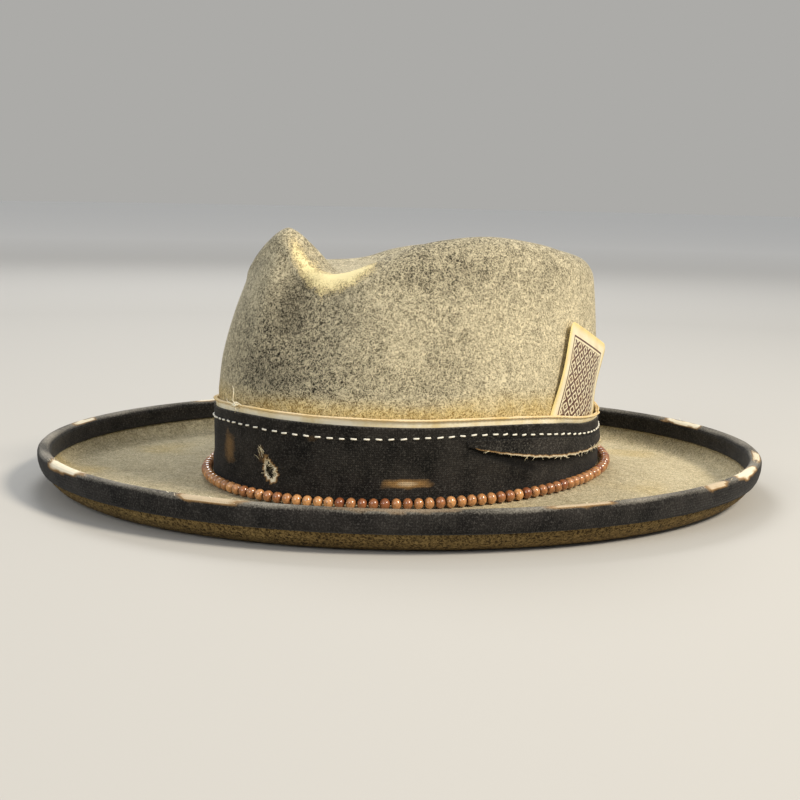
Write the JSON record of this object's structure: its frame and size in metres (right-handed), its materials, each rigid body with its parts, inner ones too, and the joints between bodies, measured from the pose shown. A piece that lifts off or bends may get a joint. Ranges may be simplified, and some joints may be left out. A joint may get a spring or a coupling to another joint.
{
  "type": "wide-brimmed felt fedora",
  "caption": "Worn wide-brimmed felt fedora with a turned-up bound brim, a black cotton band, a loose string of wooden beads and a card tucked in the band.",
  "frame": {"origin": "middle of the brim's outline, on the resting plane", "axes": "front of the hat -X, wearer's left -Y, up +Z"},
  "size_m": [0.3732, 0.3632, 0.1313],
  "materials": {
    "felt": "worn wool felt",
    "black_cotton": "matt woven cotton",
    "cream_cotton": "matt woven cotton",
    "cream_thread": "twisted thread",
    "bead_wood": "waxed",
    "string": "twisted cord",
    "card_stock": "coated paper card, worn",
    "sweat_leather": "satin",
    "reed_cover": "ribbed ribbon",
    "lining_cloth": "satin lining",
    "lining_piping": "corded piping"
  },
  "bodies": {
    "hat": {"felt_body": "felt", "brim_binding": "black_cotton", "cream_strip": "cream_cotton", "hat_band": "black_cotton", "band_tuck": "black_cotton", "running_stitches": "cream_thread", "edge_cord": "cream_thread", "cord_knot": "cream_thread", "sweatband": "sweat_leather", "sweatband_reed": "reed_cover", "sweatband_seam_tape": "reed_cover", "sweatband_bow": "reed_cover", "lining_side": "lining_cloth", "lining_piping": "lining_piping", "lining_tip": "lining_cloth"},
    "card": {"playing_card": "card_stock"},
    "bead_loop": {"wooden_beads": "bead_wood", "bead_string": "string", "string_knot": "string"}
  },
  "joints": [
    {"name": "card_slide", "type": "slide", "parent": "hat", "child": "card", "axis": [-0.033, -0.0239, 0.9992], "range_m": [0, 0.025]},
    {"name": "beads_lift", "type": "slide", "parent": "hat", "child": "bead_loop", "axis": [-0.033, -0.0239, 0.9992], "range_m": [0, 0.024]}
  ]
}
